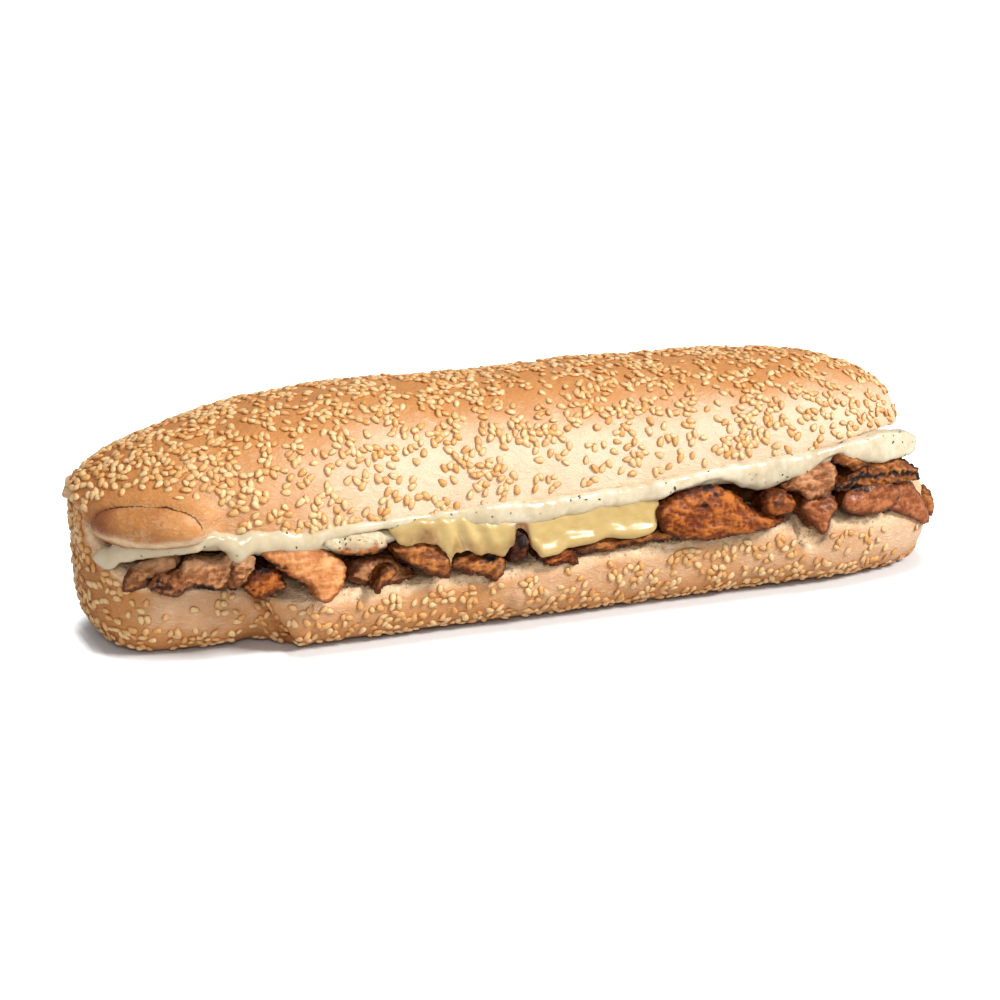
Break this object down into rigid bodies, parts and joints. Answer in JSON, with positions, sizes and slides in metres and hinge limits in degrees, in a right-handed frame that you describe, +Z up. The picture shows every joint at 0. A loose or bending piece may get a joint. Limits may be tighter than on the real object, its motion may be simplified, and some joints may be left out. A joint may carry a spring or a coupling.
{
  "type": "submarine sandwich",
  "caption": "Long sesame-seeded roll slit along its front and hinged at the back, filled with roast chicken pieces, a melted cheese slice and a thick herb sauce.",
  "frame": {"origin": "under the middle of the sandwich's bounding box, on the surface it rests on", "axes": "+X along the roll towards its right end as seen from the open mouth, -Y out of the mouth, +Z up"},
  "size_m": [0.316, 0.0892, 0.0786],
  "materials": {
    "bread": "matte",
    "chicken": "satin",
    "cheese": "satin",
    "sauce": "gloss"
  },
  "bodies": {
    "root": {"bread_roll": "bread", "chicken_bed": "chicken", "chicken_01": "chicken", "chicken_02": "chicken", "chicken_03": "chicken", "chicken_04": "chicken", "chicken_05": "chicken", "chicken_06": "chicken", "chicken_07": "chicken", "chicken_08": "chicken", "chicken_09": "chicken", "chicken_10": "chicken", "chicken_11": "chicken", "chicken_12": "chicken", "chicken_13": "chicken", "chicken_14": "chicken", "chicken_15": "chicken", "chicken_16": "chicken", "chicken_17": "chicken", "chicken_18": "chicken", "chicken_19": "chicken", "chicken_20": "chicken", "chicken_21": "chicken", "chicken_22": "chicken", "cheese_slice": "cheese", "herb_sauce": "sauce"}
  },
  "joints": []
}
